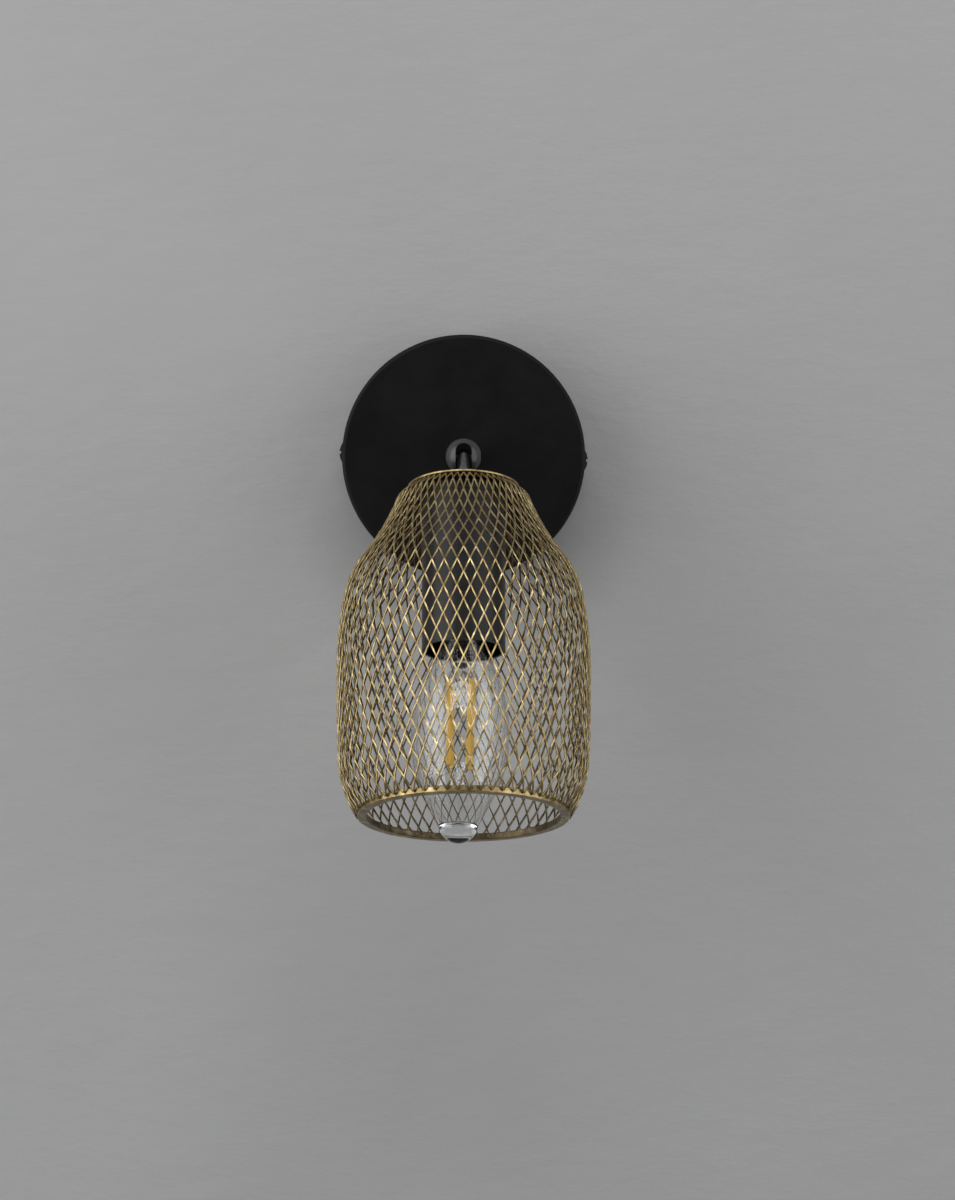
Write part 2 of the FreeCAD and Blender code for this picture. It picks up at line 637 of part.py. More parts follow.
def make_pivot_screw():
    """The screw across the knuckle that the stem turns on."""
    head_x = pivot_head_x()
    seat_x = head_x - PIVOT_HEAD_H
    far_x = -math.sqrt(KNUCKLE_R ** 2 - (PIVOT_PIN_DIA / 2) ** 2) + SEAT_GAP
    pin = rod(PIVOT_PIN_DIA, Vec(far_x, 0, 0), Vec(seat_x, 0, 0))
    pin = pin.fuse(rod(PIVOT_HEAD_DIA, Vec(seat_x, 0, 0), Vec(head_x, 0, 0)))
    slot = centred_box(2 * PIVOT_SLOT_DEPTH, PIVOT_HEAD_DIA * 2, PIVOT_SLOT_W, Vec(head_x, 0, 0))
    pin = pin.cut(slot)
    pin.translate(PIVOT)
    return pin.removeSplitter()


def make_arm_washer():
    """The washer between the canopy's face and the arm's nut."""
    start = Vec(0, FACE_INNER_Y, 0)
    end = Vec(0, FACE_INNER_Y + ARM_WASHER_T, 0)
    return tube(ARM_WASHER_DIA, ARM_THREAD_DIA + 2 * RUNNING_GAP, start, end)


def make_arm_nut():
    """The nut that holds the arm in the canopy."""
    base = Vec(0, FACE_INNER_Y + ARM_WASHER_T, 0)
    return nut(ARM_NUT_AF, ARM_THREAD_DIA + 2 * RUNNING_GAP, ARM_NUT_H, base, Y_AXIS)


def make_arm_leads():
    """The two leads through the arm's bore."""
    end_y = PIVOT.y + KNUCKLE_SLOT_BACK + 0.5
    leads = []
    for side in (-1, 1):
        x = side * LEAD_SPACING / 2
        leads.append(rod(LEAD_DIA, Vec(x, ARM_LEAD_START_Y, 0), Vec(x, end_y, 0)))
    return Part.makeCompound(leads)


# ---- Head: stem, cage, cup, lampholder ----

def make_stem():
    """The hollow stem: round eye in the knuckle, step, flange on the cage plate, thread."""
    stem = Part.makeSphere(STEM_EYE_DIA / 2)
    stem = stem.fuse(rod(STEM_EYE_DIA, ORIGIN, drop(STEM_STEP_DROP + 1)))
    stem = stem.fuse(rod(STEM_DIA, drop(STEM_STEP_DROP), drop(CAGE_PLATE_DROP)))
    stem = stem.fuse(rod(STEM_FLANGE_DIA, drop(FLANGE_TOP_DROP), drop(CAGE_PLATE_DROP)))
    stem = stem.fuse(rod(STEM_THREAD_DIA, drop(CAGE_PLATE_DROP), drop(STEM_END_DROP)))
    stem = stem.cut(rod(STEM_BORE_DIA, drop(STEM_WINDOW_TOP_DROP), drop(STEM_END_DROP + 1)))
    window_h = STEM_WINDOW_END_DROP - STEM_WINDOW_TOP_DROP
    window_middle = drop(STEM_WINDOW_TOP_DROP + window_h / 2) + Vec(0, STEM_DIA / 2, 0)
    stem = stem.cut(centred_box(STEM_WINDOW_W, STEM_DIA, window_h, window_middle))
    pin_reach = Vec(STEM_DIA, 0, 0)
    return stem.cut(rod(PIVOT_PIN_DIA + 2 * RUNNING_GAP, -pin_reach, pin_reach)).removeSplitter()


def make_cage_plate():
    """The round plate that closes the top of the cage."""
    plate = rod(CAGE_PLATE_DIA, drop(CAGE_PLATE_DROP), drop(CAGE_PLATE_END_DROP))
    rims = [e for e in plate.Edges if e.Closed]
    plate = plate.makeFillet(CAGE_PLATE_T * 0.3, rims)
    return plate.cut(rod(2 * STEM_HOLE_R, drop(0), drop(STEM_END_DROP)))


def net_curves():
    """The net's outline from the plate to the ring, as arcs of (radius, drop)."""
    top = CAGE_PLATE_END_DROP + SEAT_GAP
    end_r = CAGE_RING_DIA / 2 + WELD_GAP + NET_T * 0.9
    end_drop = CAGE_BOTTOM_DROP - NET_END_LIFT
    top_r = NET_TOP_DIA / 2
    corner = (NET_CORNER_DIA / 2, CAGE_PLATE_DROP + NET_CORNER_DROP)
    cone = (NET_CONE_DIA / 2, CAGE_PLATE_DROP + NET_CONE_DROP)
    shoulder = (NET_SHOULDER_DIA / 2, CAGE_PLATE_DROP + NET_SHOULDER_DROP)
    barrel = (NET_BARREL_DIA / 2, CAGE_PLATE_DROP + NET_BARREL_DROP)
    heel = (NET_HEEL_DIA / 2, CAGE_PLATE_DROP + NET_HEEL_DROP)
    ends = [(top_r, top), corner, cone, shoulder, barrel, heel, (end_r, end_drop)]
    # how far each arc bows out of its chord, as a share of the chord; the cone bows inwards
    bows = [0.15, -0.036, 0.056, 0.029, 0.006, 0.067]
    curves = []
    for (r1, d1), (r2, d2), bow in zip(ends, ends[1:], bows):
        middle = Vec((r1 + r2) / 2, 0, -(d1 + d2) / 2)
        outward = Vec(d2 - d1, 0, r2 - r1)
        curves.append(Part.Arc(Vec(r1, 0, -d1), middle + outward * bow, Vec(r2, 0, -d2)).toShape())
    return curves


def net_rows():
    """Evenly spaced points down the net's outline: one for each row of joints between strands."""
    curves = net_curves()
    spacing = sum(curve.Length for curve in curves) / NET_HALF_ROWS
    rows = []
    for row in range(NET_HALF_ROWS):
        along = row * spacing
        index = 0
        while along > curves[index].Length:
            along -= curves[index].Length
            index += 1
        curve = curves[index]
        rows.append(curve.valueAt(curve.getParameterByLength(along)))
    rows.append(curves[-1].valueAt(curves[-1].LastParameter))
    return rows, spacing


def inset_rows(rows, depth):
    """The outline moved inwards by the net's thickness, keeping each straight run parallel."""
    normals = []
    for upper, lower in zip(rows, rows[1:]):
        run = (lower - upper).normalize()
        normals.append(Vec(-run.z, 0, run.x))
    inner = []
    for index, point in enumerate(rows):
        before = normals[max(index - 1, 0)]
        after = normals[min(index, len(normals) - 1)]
        middle = (before + after).normalize()
        inner.append(point - middle * (depth / middle.dot(after)))
    return inner


class Net:
    """Expanded metal: flat strands between joints, each strand lying in one flat facet.

    The facets lie between neighbouring rows and neighbouring columns. Joints sit where row and
    column numbers are both even or both odd, and an opening is centred on every other crossing.
    """

    def __init__(self):
        self.outer, self.row_spacing = net_rows()
        self.inner = inset_rows(self.outer, NET_T)
        self.columns = 2 * NET_AROUND
        self.openings = {}

    def crossing(self, row, column, skin):
        """A crossing of a row and a column on the outer skin (0) or the inner skin (1)."""
        point = (self.outer, self.inner)[skin][row]
        angle = math.pi * column / NET_AROUND
        return Vec(point.x * math.cos(angle), point.x * math.sin(angle), point.z)

    def opening(self, row, column):
        """Corners of the opening centred on a crossing: left, right, upper, lower, on both skins."""
        key = (row, column % self.columns)
        if key not in self.openings:
            outer = self.crossing(row, column, 0)
            inner = self.crossing(row, column, 1)
            left = self.crossing(row, column - 1, 0) - outer
            right = self.crossing(row, column + 1, 0) - outer
            slant = math.atan2(right.Length, self.row_spacing)
            side_share = 1 - NET_STRAND / 2 / math.cos(slant) / right.Length
            height_share = 1 - NET_STRAND / 2 / math.sin(slant) / self.row_spacing
            corners = [outer + left * side_share, outer + right * side_share, None, None]
            if row > 0:
                corners[2] = outer + (self.crossing(row - 1, column, 0) - outer) * height_share
            if row < NET_HALF_ROWS:
                corners[3] = outer + (self.crossing(row + 1, column, 0) - outer) * height_share
            # the opening narrows inwards, towards one point on its own axis
            reach = max(self.outer[row].x, 30.0) / NET_T
            apex = outer + (inner - outer) * reach
            shrink = (apex - inner).Length / (apex - outer).Length
            inner_corners = [None if c is None else apex + (c - apex) * shrink for c in corners]
            self.openings[key] = (corners, inner_corners)
        return self.openings[key]

    def facet(self, row, column):
        """The faces of the strand in the facet below a row and right of a column."""
        falls_left = (row + column) % 2 == 1
        if falls_left:
            above, below = self.opening(row, column), self.opening(row + 1, column + 1)
            near, far = 1, 0
            joints = ((row, column + 1), (row + 1, column))
        else:
            above, below = self.opening(row, column + 1), self.opening(row + 1, column)
            near, far = 0, 1
            joints = ((row, column), (row + 1, column + 1))
        faces = []
        for skin in (0, 1):
            upper = self.crossing(*joints[0], skin)
            lower = self.crossing(*joints[1], skin)
            strand = [above[skin][near], upper, below[skin][2], below[skin][far], lower]
            faces.append(strand + [above[skin][3]])
        faces.append([above[0][near], above[0][3], above[1][3], above[1][near]])
        faces.append([below[0][2], below[0][far], below[1][far], below[1][2]])
        if row == 0:
            joint = (self.crossing(*joints[0], 0), self.crossing(*joints[0], 1))
            faces.append([above[0][near], joint[0], joint[1], above[1][near]])
        if row == NET_HALF_ROWS - 1:
            joint = (self.crossing(*joints[1], 0), self.crossing(*joints[1], 1))
            faces.append([below[0][far], joint[0], joint[1], below[1][far]])
        return faces

    def solid(self):
        """The whole net as one closed solid."""
        faces = []
        for row in range(NET_HALF_ROWS):
            for column in range(self.columns):
                for corners in self.facet(row, column):
                    faces.append(Part.Face(Part.makePolygon(corners + [corners[0]])))
        shell = Part.makeShell(faces)
        shell.sewShape()
        net = Part.Solid(shell.Shells[0])
        if net.Volume < 0:
            net.reverse()
        return net


def make_cage_net():
    """The expanded-metal net of the cage."""
    return Net().solid()


def make_cage_ring():
    """The flat bar ring at the cage's mouth."""
    outer_r = CAGE_RING_DIA / 2
    inner_r = outer_r - CAGE_RING_W
    ring = tube(2 * outer_r, 2 * inner_r, drop(CAGE_BOTTOM_DROP - CAGE_RING_H), drop(CAGE_BOTTOM_DROP))
    rims = [e for e in ring.Edges if e.Closed]
    return ring.makeFillet(CAGE_RING_H * 0.15, rims)


def make_socket_cup():
    """The black cup round the lampholder, closed at the top."""
    cup = rod(CUP_DIA, drop(CAGE_PLATE_END_DROP), drop(CUP_END_DROP))
    rims = [e for e in cup.Edges if e.Closed and abs(e.CenterOfMass.z + CAGE_PLATE_END_DROP) < 0.01]
    cup = cup.makeFillet(CUP_EDGE_R, rims)
    cup = cup.cut(rod(CUP_DIA - 2 * CUP_WALL, drop(CUP_TOP_END_DROP), drop(CUP_END_DROP + 1)))
    return cup.cut(rod(2 * STEM_HOLE_R, drop(0), drop(CUP_END_DROP)))


def make_stem_washer():
    """The washer under the cup's top."""
    return tube(STEM_WASHER_DIA, 2 * STEM_HOLE_R, drop(CUP_TOP_END_DROP), drop(NUT_TOP_DROP))


def make_stem_nut():
    """The nut that clamps the cup and the cage plate to the stem's flange."""
    return nut(STEM_NUT_AF, 2 * STEM_HOLE_R, STEM_NUT_H, drop(NUT_TOP_DROP), -Z_AXIS)


def make_holder_hood():
    """The lampholder's upper half: a collar on the stem's thread and a hood over the terminals."""
    hood = rod(HOLDER_COLLAR_DIA, drop(HOLDER_TOP_DROP), drop(HOLDER_HOOD_DROP + 1))
    hood = hood.fuse(rod(HOLDER_DIA, drop(HOLDER_HOOD_DROP), drop(HOLDER_SPLIT_DROP)))
    chamber_top = drop(HOLDER_HOOD_DROP + HOLDER_WALL)
    hood = hood.cut(rod(HOLDER_DIA - 2 * HOLDER_WALL, chamber_top, drop(HOLDER_SPLIT_DROP + 1)))
    return hood.cut(rod(2 * STEM_HOLE_R, drop(0), drop(HOLDER_SPLIT_DROP))).removeSplitter()


SHELL_SEAT_DIA = SHELL_CREST_DIA + 2 * SHELL_T + 4 * SEAT_GAP


def make_holder_body():
    """The lampholder's lower half: a partition and the skirt round the threaded shell."""
    body = rod(HOLDER_DIA, drop(HOLDER_SPLIT_DROP), drop(HOLDER_END_DROP))
    body = body.cut(rod(SHELL_SEAT_DIA, drop(HOLDER_FLOOR_END_DROP), drop(HOLDER_END_DROP + 1)))
    grip_r = HOLDER_DIA / 2
    for groove in range(GRIP_COUNT):
        angle = 2 * math.pi * groove / GRIP_COUNT
        top = Vec(grip_r * math.cos(angle), grip_r * math.sin(angle), -HOLDER_FLOOR_END_DROP - GRIP_START)
        body = body.cut(rod(GRIP_DIA, top, Vec(top.x, top.y, -HOLDER_END_DROP - 1)))
    return body


def ridged(crest_r, root_r, start_drop, pitch, turns):
    """The (radius, height) points of a rolled thread, drawn as rings down the axis."""
    points = []
    for ridge in range(turns):
        top = start_drop + ridge * pitch
        points.append((root_r, -top))
        points.append((crest_r, -(top + pitch * 0.35)))
        points.append((crest_r, -(top + pitch * 0.65)))
    points.append((root_r, -(start_drop + turns * pitch)))
    return points


SHELL_START_DROP = HOLDER_FLOOR_END_DROP + SHELL_START_TO_FLOOR


def make_threaded_shell():
    """The holder's threaded shell, with its flat lug across the partition."""
    inside = ridged(SHELL_CREST_DIA / 2, SHELL_ROOT_DIA / 2, SHELL_START_DROP, THREAD_PITCH, SHELL_TURNS)
    outside = [(r + SHELL_T, z) for r, z in reversed(inside)]
    shell = turned(inside + outside, Z_AXIS)
    lug_r = SHELL_ROOT_DIA / 2 + SHELL_T / 2
    lug_h = SHELL_START_TO_FLOOR + SHELL_T
    lug_middle = Vec(-lug_r, 0, -HOLDER_FLOOR_END_DROP - lug_h / 2)
    lug = centred_box(SHELL_T, SHELL_LUG_W, lug_h, lug_middle)
    return shell.fuse(lug).removeSplitter()


def make_centre_contact():
    """The sprung strip that meets the lamp's tip contact."""
    foot = HOLDER_FLOOR_END_DROP
    tongue = BULB_CONTACT_DROP - CONTACT_GAP
    outline = [
        (CONTACT_FOOT_X, foot), (CONTACT_BACK_X, foot),
        (CONTACT_BACK_X, tongue), (CONTACT_TONGUE_X, tongue),
        (CONTACT_TONGUE_X, tongue - CONTACT_T), (CONTACT_BACK_X - CONTACT_T, tongue - CONTACT_T),
        (CONTACT_BACK_X - CONTACT_T, foot + CONTACT_T), (CONTACT_FOOT_X, foot + CONTACT_T),
    ]
    points = [Vec(x, -CONTACT_W / 2, -depth) for x, depth in outline]
    return Part.Face(Part.makePolygon(points + [points[0]])).extrude(Vec(0, CONTACT_W, 0))


def terminal_middle(side):
    """The middle of one of the lampholder's two terminals."""
    return Vec(side * TERMINAL_SPACING / 2, 0, -(HOLDER_SPLIT_DROP - TERMINAL_H / 2))


def make_holder_terminals():
    """The two brass terminals on the partition."""
    terminals = []
    for side in (-1, 1):
        middle = terminal_middle(side)
        block = centred_box(TERMINAL_W, TERMINAL_W, TERMINAL_H, middle)
        top = middle + Vec(0, 0, TERMINAL_H / 2)
        block = block.cut(rod(TERMINAL_SCREW_DIA + 2 * RUNNING_GAP, top + Z_AXIS, middle - Vec(0, 0, 1)))
        terminals.append(block)
    return Part.makeCompound(terminals)


def make_terminal_screws():
    """The screws of the lampholder's terminals."""
    screws = []
    for side in (-1, 1):
        seat = terminal_middle(side) + Vec(0, 0, TERMINAL_H / 2 + SEAT_GAP)
        screw = domed_screw(
            TERMINAL_SCREW_DIA, TERMINAL_H / 2, TERMINAL_HEAD_DIA, TERMINAL_HEAD_H,
            SMALL_SLOT_W, SMALL_SLOT_DEPTH,
        )
        screws.append(placed_screw(screw, seat, Z_AXIS, X_AXIS))
    return Part.makeCompound(screws)


def make_head_leads():
    """The two leads down the stem's bore to the lampholder's terminals."""
    leads = []
    for side in (-1, 1):
        near_x = side * LEAD_SPACING / 2
        low_x = side * (LEAD_SPACING / 2 + LEAD_FLARE)
        start = Vec(near_x, 0, -STEM_WINDOW_END_DROP)
        bend = Vec(near_x, 0, -STEM_END_DROP - 0.5)
        level = terminal_middle(side).z
        foot = Vec(low_x, 0, level)
        end_x = side * (TERMINAL_SPACING / 2 - TERMINAL_W / 2 - SEAT_GAP)
        lead = rod(LEAD_DIA, start, bend).fuse(Part.makeSphere(LEAD_DIA / 2, bend))
        lead = lead.fuse(rod(LEAD_DIA, bend, foot)).fuse(Part.makeSphere(LEAD_DIA / 2, foot))
        lead = lead.fuse(rod(LEAD_DIA, foot, Vec(end_x, 0, level)))
        leads.append(lead.removeSplitter())
    return Part.makeCompound(leads)


# ---- Candle lamp ----

CAP_START_DROP = BULB_CONTACT_DROP + BULB_TIP_CONTACT_H + BULB_INSULATOR_H
CAP_END_DROP = CAP_START_DROP + BULB_CAP_LENGTH
CAP_THREAD_DROP = CAP_START_DROP + 1.2
NECK_DIA = BULB_CAP_ROOT_DIA - 2 * BULB_CAP_T - 2 * SEAT_GAP
NECK_START_DROP = CAP_END_DROP - 5.0


def glass_outline(inset, tip_inset):
    """The lamp's glass from its neck to its blunt tip, moved in by the wall's thickness."""
    belly_drop = BULB_TIP_DROP - BULB_BELLY_TO_TIP
    belly_r = BULB_DIA / 2
    neck_r = NECK_DIA / 2
    neck_drop = CAP_END_DROP + 0.6
    flare_drop = (neck_drop + belly_drop) / 2 + 1.5
    nose_drop = BULB_TIP_DROP - BULB_NOSE_TO_TIP
    shoulder_drop = BULB_TIP_DROP - BULB_SHOULDER_TO_TIP
    nose_r = belly_r * 0.40
    start = (neck_r - inset, NECK_START_DROP)
    neck = (neck_r - inset, neck_drop)
    flare_bow = ((neck_r + belly_r * 0.84) / 2 - inset, (neck_drop + flare_drop) / 2 - 0.4)
    flare = (belly_r * 0.84 - inset, flare_drop)
    rise_bow = (belly_r * 0.96 - inset, (flare_drop + belly_drop) / 2)
    belly = (belly_r - inset, belly_drop)
    fall_bow = (belly_r * 0.962 - inset, (belly_drop + shoulder_drop) / 2 + 0.35)
    shoulder = (belly_r * 0.835 - inset, shoulder_drop)
    lower_bow = (belly_r * 0.635 - inset, (shoulder_drop + nose_drop) / 2 - 0.4)
    nose = (nose_r - inset * 0.9, nose_drop - inset * 0.6)
    tip = (0, BULB_TIP_DROP - tip_inset)
    # the tip is a round cap with its centre on the axis
    cap_h = tip[1] - nose[1]
    cap_r = (nose[0] ** 2 + cap_h ** 2) / (2 * cap_h)
    middle_drop = tip[1] - cap_r
    half_turn = math.atan2(nose[0], cap_r - cap_h) / 2
    tip_bow = (cap_r * math.sin(half_turn), middle_drop + cap_r * math.cos(half_turn))
    flat = (GLASS_TIP_FLAT_R, middle_drop + math.sqrt(cap_r ** 2 - GLASS_TIP_FLAT_R ** 2))

    def point(pair):
        return Vec(pair[0], 0, -pair[1])

    edges = [Part.makeLine(point(start), point(neck))]
    for first, middle, last in (
        (neck, flare_bow, flare), (flare, rise_bow, belly), (belly, fall_bow, shoulder),
        (shoulder, lower_bow, nose), (nose, tip_bow, flat),
    ):
        edges.append(Part.Arc(point(first), point(middle), point(last)).toShape())
    return edges


def make_bulb_glass():
    """The hollow clear glass, thicker at its drawn tip."""
    solids = []
    for inset, tip_inset in ((0, 0), (BULB_GLASS_T, BULB_TIP_WALL)):
        edges = glass_outline(inset, tip_inset)
        mouth_drop = NECK_START_DROP - inset
        mouth_r = NECK_DIA / 2 - inset
        flat_edge = edges[-1].Vertexes[-1].Point
        axis_point = Vec(0, 0, flat_edge.z)
        edges.append(Part.makeLine(flat_edge, axis_point))
        edges.append(Part.makeLine(axis_point, drop(mouth_drop)))
        edges.append(Part.makeLine(drop(mouth_drop), drop(mouth_drop) + Vec(mouth_r, 0, 0)))
        if inset > 0:
            edges.append(Part.makeLine(drop(mouth_drop) + Vec(mouth_r, 0, 0), edges[0].Vertexes[0].Point))
        wire = Part.Wire(Part.sortEdges(edges)[0])
        solids.append(Part.Face(wire).revolve(ORIGIN, Z_AXIS, 360))
    return solids[0].cut(solids[1])


def make_bulb_cap():
    """The lamp's thin threaded metal cap."""
    crest_r = BULB_CAP_DIA / 2
    root_r = BULB_CAP_ROOT_DIA / 2
    outside = [(BULB_TIP_CONTACT_DIA / 2 + 2.0, -CAP_START_DROP)]
    outside += ridged(crest_r, root_r, CAP_THREAD_DROP, THREAD_PITCH, SHELL_TURNS)
    outside += [(crest_r, -(CAP_THREAD_DROP + SHELL_TURNS * THREAD_PITCH + 0.5)), (crest_r, -CAP_END_DROP)]
    inside = [(root_r - BULB_CAP_T, -CAP_END_DROP), (root_r - BULB_CAP_T, -(CAP_THREAD_DROP + 0.3))]
    inside += [(outside[0][0], -(CAP_START_DROP + 0.5))]
    return turned(outside + inside, Z_AXIS)


def make_cap_insulator():
    """The dark insulating end of the cap."""
    top_r = BULB_TIP_CONTACT_DIA / 2 + 0.3
    end_r = BULB_TIP_CONTACT_DIA / 2 + 2.0
    top = -(BULB_CONTACT_DROP + BULB_TIP_CONTACT_H)
    return turned([(0, top), (top_r, top), (end_r, -CAP_START_DROP), (0, -CAP_START_DROP)], Z_AXIS)


def make_tip_contact():
    """The lamp's domed tip contact."""
    radius = BULB_TIP_CONTACT_DIA / 2
    height = BULB_TIP_CONTACT_H
    dome_r = (radius ** 2 + height ** 2) / (2 * height)
    base = BULB_CONTACT_DROP + height
    dome = Part.makeSphere(dome_r, drop(BULB_CONTACT_DROP + dome_r))
    return dome.common(rod(BULB_TIP_CONTACT_DIA, drop(BULB_CONTACT_DROP), drop(base)))


def make_driver_board():
    """The small driver board inside the cap."""
    middle = drop(CAP_START_DROP + BOARD_FOOT_H + BOARD_H / 2)
    board = centred_box(BOARD_W, BOARD_T, BOARD_H, middle)
    chip_y = (BOARD_T + CHIP_T) / 2
    chip = centred_box(CHIP_SIZE, CHIP_T, CHIP_SIZE, middle - Vec(0, chip_y, 0))
    foot = centred_box(CHIP_SIZE, BOARD_T, BOARD_FOOT_H, drop(CAP_START_DROP + BOARD_FOOT_H / 2))
    return board.fuse(chip).fuse(foot).removeSplitter()


STEM_GLASS_TOP_DROP = NECK_START_DROP + 0.4
STEM_GLASS_END_DROP = BULB_TIP_DROP - GLASS_STEM_END_TO_TIP
FILAMENT_LOW_DROP = BULB_TIP_DROP - FILAMENT_END_TO_TIP
FILAMENT_TOP_DROP = FILAMENT_LOW_DROP - FILAMENT_LENGTH
HUB_DROP = FILAMENT_LOW_DROP + SUPPORT_BEAD_RUN


def make_glass_stem():
    """The glass stem that carries the wires, flared to fit the neck."""
    flare_r = NECK_DIA / 2 - BULB_GLASS_T - SEAT_GAP * 3
    stem_r = GLASS_STEM_DIA / 2
    top = STEM_GLASS_TOP_DROP
    end = STEM_GLASS_END_DROP
    outline = [
        (0, -top), (flare_r, -top), (flare_r, -(top + 0.8)), (stem_r + 0.6, -(top + 3.5)),
        (stem_r, -(top + 6.0)), (stem_r, -(end - 1.2)), (stem_r - 1.0, -end), (0, -end),
    ]
    return turned(outline, Z_AXIS)


def filament_end(index, low):
    """The end of one filament on the upper or the lower circle."""
    angle = math.radians(FILAMENT_TURN + 360.0 * index / FILAMENT_COUNT)
    radius = (FILAMENT_LOW_SPREAD if low else FILAMENT_TOP_SPREAD) / 2
    depth = FILAMENT_LOW_DROP if low else FILAMENT_TOP_DROP
    return Vec(radius * math.cos(angle), radius * math.sin(angle), -depth)


def make_filaments():
    """The coated strips of the lamp."""
    strips = []
    for index in range(FILAMENT_COUNT):
        top = filament_end(index, False)
        low = filament_end(index, True)
        length = (low - top).Length
        strip = centred_box(FILAMENT_W, FILAMENT_T, length, Vec(0, 0, length / 2))
        upright = [e for e in strip.Edges if abs(e.Length - length) < 0.001]
        strip = strip.makeFillet(min(FILAMENT_T, FILAMENT_W) * 0.4, upright)
        turn = FreeCAD.Rotation(Z_AXIS, top - low)
        strip.Placement = FreeCAD.Placement(low, turn)
        strips.append(strip)
    return Part.makeCompound(strips)


def make_lead_wires():
    """The wires from the glass stem to the filaments' upper ends: two forks, each to two filaments."""
    wires = []
    for side in (-1, 1):
        root = drop(STEM_GLASS_END_DROP + SEAT_GAP) + Vec(side * WIRE_SPACING / 2, 0, 0)
        fork = root - Vec(0, 0, FORK_RUN)
        wire = rod(LEAD_WIRE_DIA, root, fork).fuse(Part.makeSphere(LEAD_WIRE_DIA / 2, fork))
        for index in range(FILAMENT_COUNT):
            end = filament_end(index, False) + Vec(0, 0, WIRE_END_GAP)
            if end.x * side > 0:
                wire = wire.fuse(rod(LEAD_WIRE_DIA, fork, end))
        wires.append(wire.removeSplitter())
    return Part.makeCompound(wires)


def make_support_hub():
    """The glass bead and wires that hold the filaments' lower ends."""
    bead = Part.makeSphere(SUPPORT_BEAD_DIA / 2, drop(HUB_DROP))
    for index in range(FILAMENT_COUNT):
        end = filament_end(index, True) - Vec(0, 0, WIRE_END_GAP)
        bead = bead.fuse(rod(LEAD_WIRE_DIA, drop(HUB_DROP), end))
    return bead.removeSplitter()


# ---- Build every node ----

WALL_NODES = {
    "canopy_cup": make_canopy,
    "wall_plate": make_wall_plate,
    "canopy_side_screws": make_side_screws,
    "supply_block": make_supply_block,
    "supply_block_inserts": make_block_inserts,
    "supply_block_screws": make_block_screws,
    "earth_screw": make_earth_screw,
    "earth_washer": make_earth_washer,
    "earth_ring_terminal": make_ring_terminal,
    "earth_lead": make_earth_lead,
    "canopy_leads": make_canopy_leads,
}

ARM_NODES = {
    "arm_with_knuckle": make_arm,
    "knuckle_pivot_screw": make_pivot_screw,
    "arm_washer": make_arm_washer,
    "arm_nut": make_arm_nut,
    "arm_leads": make_arm_leads,
}

HEAD_NODES = {
    "swivel_stem": make_stem,
    "cage_top_plate": make_cage_plate,
    "cage_net": make_cage_net,
    "cage_bottom_ring": make_cage_ring,
    "socket_cup": make_socket_cup,
    "stem_washer": make_stem_washer,
    "stem_nut": make_stem_nut,
    "lampholder_hood": make_holder_hood,
    "lampholder_body": make_holder_body,
    "lampholder_threaded_shell": make_threaded_shell,
    "lampholder_centre_contact": make_centre_contact,
    "lampholder_terminals": make_holder_terminals,
    "lampholder_terminal_screws": make_terminal_screws,
    "head_leads": make_head_leads,
}

LAMP_NODES = {
    "lamp_glass": make_bulb_glass,
    "lamp_cap": make_bulb_cap,
    "lamp_cap_insulator": make_cap_insulator,
    "lamp_tip_contact": make_tip_contact,
    "lamp_driver_board": make_driver_board,
    "lamp_glass_stem": make_glass_stem,
    "lamp_filaments": make_filaments,
    "lamp_lead_wires": make_lead_wires,
    "lamp_filament_support": make_support_hub,
}

os.makedirs("parts", exist_ok=True)
nodes = {}
for name, maker in {**WALL_NODES, **ARM_NODES}.items():
    nodes[name] = maker()
for name, maker in HEAD_NODES.items():
    nodes[name] = to_room(maker())
for name, maker in LAMP_NODES.items():
    nodes[name] = to_room(lean(maker()))
for name, shape in nodes.items():
    shape.exportStep("parts/" + name + ".step")
    print(name, len(shape.Solids), shape.isValid(), round(shape.Volume, 1))
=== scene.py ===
"""Looks for the cage wall light: materials, its turned net, the wall behind it, soft light and the camera."""
import json
import math

import bmesh
import bpy
from mathutils import Matrix, Vector


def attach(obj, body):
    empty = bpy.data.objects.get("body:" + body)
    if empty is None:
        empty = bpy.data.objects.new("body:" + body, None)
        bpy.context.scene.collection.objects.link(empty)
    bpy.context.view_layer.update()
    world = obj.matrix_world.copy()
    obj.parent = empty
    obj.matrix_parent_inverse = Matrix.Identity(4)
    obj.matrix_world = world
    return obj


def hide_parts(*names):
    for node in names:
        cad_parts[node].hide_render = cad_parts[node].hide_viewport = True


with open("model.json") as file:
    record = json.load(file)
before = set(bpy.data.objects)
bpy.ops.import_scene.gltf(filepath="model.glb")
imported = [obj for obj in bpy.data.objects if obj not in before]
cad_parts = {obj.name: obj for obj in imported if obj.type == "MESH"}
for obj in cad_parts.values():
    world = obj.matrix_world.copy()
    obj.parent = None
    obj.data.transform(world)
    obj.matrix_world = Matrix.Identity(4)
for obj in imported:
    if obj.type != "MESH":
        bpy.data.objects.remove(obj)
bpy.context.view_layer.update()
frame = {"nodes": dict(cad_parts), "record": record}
scene = bpy.context.scene


# ---- material helpers ----

